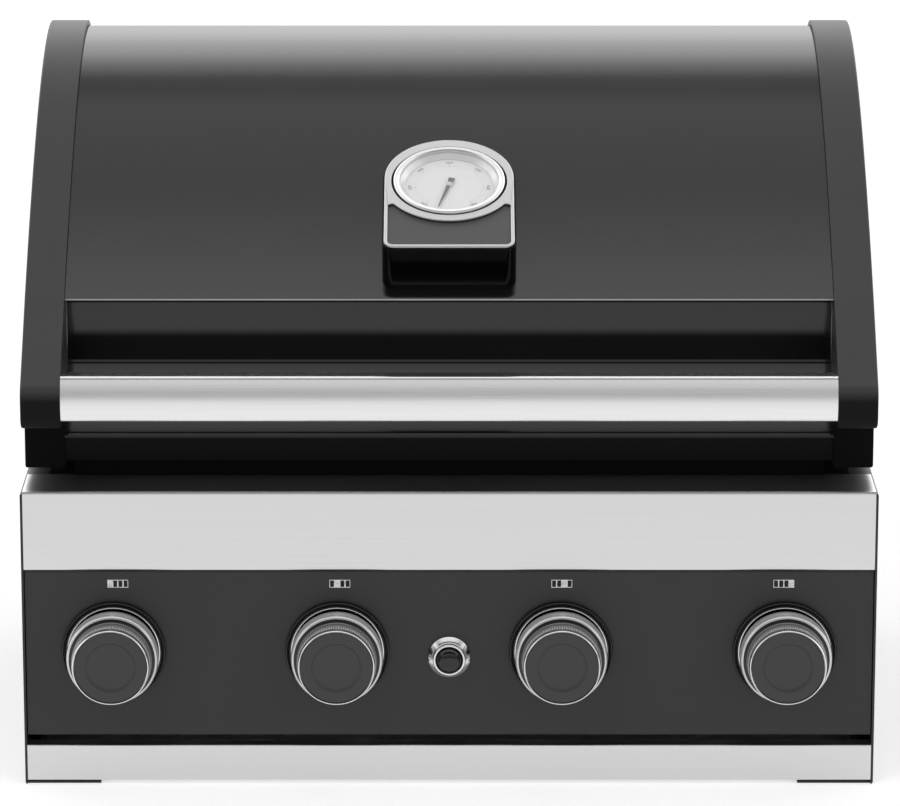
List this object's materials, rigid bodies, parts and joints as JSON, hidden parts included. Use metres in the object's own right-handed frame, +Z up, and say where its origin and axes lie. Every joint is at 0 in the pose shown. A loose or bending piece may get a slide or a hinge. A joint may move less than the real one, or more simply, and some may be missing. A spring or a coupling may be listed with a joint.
{
  "type": "built in gas grill",
  "caption": "Built-in gas grill with a hinged curved lid, bar handle, thermometer, push-to-turn knobs, ignition button, grates, burners and a slide-out grease tray.",
  "frame": {"origin": "on the floor under the foot flanges, at the middle of the whole part's footprint", "axes": "+X to the right as seen by the cook, +Y to the back, +Z up; the knobs face -Y"},
  "size_m": [0.7456, 0.606, 0.605],
  "materials": {
    "enamel": "glossy black vitreous enamel on steel sheet",
    "cap_coating": "satin black powder coat on a die-cast end cap",
    "black_steel": "satin black heat-resistant paint on steel sheet",
    "panel_coating": "smooth charcoal paint on steel sheet",
    "band_steel": "brushed along its length",
    "handle_steel": "brushed along its length",
    "plain_steel": "dull bare or plated steel",
    "burner_steel": "dull stainless steel",
    "grate_iron": "matt black cast iron",
    "rack_chrome": "plated wire",
    "valve_brass": "bare machined brass",
    "knob_chrome": "bright plating",
    "knob_rubber": "dark grey soft-touch face",
    "button_plastic": "polished black",
    "igniter_plastic": "matt black moulding",
    "housing_plastic": "polished black, heat-resistant",
    "plate_silver": "fine satin silver",
    "dial_face": "pale printed dial",
    "dial_glass": "clear flat window",
    "needle_black": "matt black needle"
  },
  "bodies": {
    "cabinet": {"side_panel_right": "black_steel", "side_panel_left": "black_steel", "front_band": "band_steel", "control_panel": "panel_coating", "rear_panel": "black_steel", "firebox": "black_steel", "hinge_pin_right": "plain_steel", "hinge_pin_left": "plain_steel", "burner_1": "burner_steel", "burner_2": "burner_steel", "burner_3": "burner_steel", "burner_4": "burner_steel", "flame_tamer_1": "burner_steel", "flame_tamer_2": "burner_steel", "flame_tamer_3": "burner_steel", "flame_tamer_4": "burner_steel", "cooking_grate_left": "grate_iron", "cooking_grate_right": "grate_iron", "warming_rack": "rack_chrome", "gas_manifold": "plain_steel", "gas_valve_1": "valve_brass", "gas_valve_2": "valve_brass", "gas_valve_3": "valve_brass", "gas_valve_4": "valve_brass", "knob_bezel_1": "knob_chrome", "knob_bezel_2": "knob_chrome", "knob_bezel_3": "knob_chrome", "knob_bezel_4": "knob_chrome", "ignition_ring": "knob_chrome", "igniter_module": "igniter_plastic"},
    "lid": {"lid_sheet": "enamel", "lid_cap_right": "cap_coating", "lid_cap_left": "cap_coating", "handle_bar": "handle_steel", "thermometer_housing": "housing_plastic", "thermometer_faceplate": "plate_silver", "thermometer_ring": "plate_silver", "thermometer_dial": "dial_face", "thermometer_glass": "dial_glass", "thermometer_probe": "plain_steel"},
    "needle": {"thermometer_needle": "needle_black"},
    "tray": {"grease_tray": "plain_steel", "tray_front": "band_steel"},
    "ignition": {"ignition_button": "button_plastic"},
    "knob_1_plunger": {"stem_washer_1": "plain_steel"},
    "knob_1": {"knob_shell_1": "knob_chrome", "knob_face_1": "knob_rubber", "valve_stem_1": "valve_brass"},
    "knob_2_plunger": {"stem_washer_2": "plain_steel"},
    "knob_2": {"knob_shell_2": "knob_chrome", "knob_face_2": "knob_rubber", "valve_stem_2": "valve_brass"},
    "knob_3_plunger": {"stem_washer_3": "plain_steel"},
    "knob_3": {"knob_shell_3": "knob_chrome", "knob_face_3": "knob_rubber", "valve_stem_3": "valve_brass"},
    "knob_4_plunger": {"stem_washer_4": "plain_steel"},
    "knob_4": {"knob_shell_4": "knob_chrome", "knob_face_4": "knob_rubber", "valve_stem_4": "valve_brass"}
  },
  "joints": [
    {"name": "lid_hinge", "type": "hinge", "parent": "cabinet", "child": "lid", "pos_m": [0, 0.254, 0.292], "axis": [-1, 0, 0], "range_deg": [0, 85]},
    {"name": "needle_turn", "type": "hinge", "parent": "lid", "child": "needle", "pos_m": [0, -0.0938, 0.50434], "axis": [0, 0.4128, -0.9108], "range_deg": [0, 290], "stiffness_Nm_per_rad": 0.004},
    {"name": "tray_slide", "type": "slide", "parent": "cabinet", "child": "tray", "axis": [0, -1, 0], "range_m": [0, 0.3]},
    {"name": "ignition_push", "type": "slide", "parent": "cabinet", "child": "ignition", "axis": [0, 1, 0], "range_m": [0, 0.004], "stiffness_N_per_m": 2500},
    {"name": "knob_1_push", "type": "slide", "parent": "cabinet", "child": "knob_1_plunger", "axis": [0, 1, 0], "range_m": [0, 0.003], "stiffness_N_per_m": 5000},
    {"name": "knob_1_turn", "type": "hinge", "parent": "knob_1_plunger", "child": "knob_1", "pos_m": [-0.29175, -0.254, 0.121], "axis": [0, -1, 0], "range_deg": [0, 180]},
    {"name": "knob_2_push", "type": "slide", "parent": "cabinet", "child": "knob_2_plunger", "axis": [0, 1, 0], "range_m": [0, 0.003], "stiffness_N_per_m": 5000},
    {"name": "knob_2_turn", "type": "hinge", "parent": "knob_2_plunger", "child": "knob_2", "pos_m": [-0.09725, -0.254, 0.121], "axis": [0, -1, 0], "range_deg": [0, 180]},
    {"name": "knob_3_push", "type": "slide", "parent": "cabinet", "child": "knob_3_plunger", "axis": [0, 1, 0], "range_m": [0, 0.003], "stiffness_N_per_m": 5000},
    {"name": "knob_3_turn", "type": "hinge", "parent": "knob_3_plunger", "child": "knob_3", "pos_m": [0.09725, -0.254, 0.121], "axis": [0, -1, 0], "range_deg": [0, 180]},
    {"name": "knob_4_push", "type": "slide", "parent": "cabinet", "child": "knob_4_plunger", "axis": [0, 1, 0], "range_m": [0, 0.003], "stiffness_N_per_m": 5000},
    {"name": "knob_4_turn", "type": "hinge", "parent": "knob_4_plunger", "child": "knob_4", "pos_m": [0.29175, -0.254, 0.121], "axis": [0, -1, 0], "range_deg": [0, 180]}
  ]
}
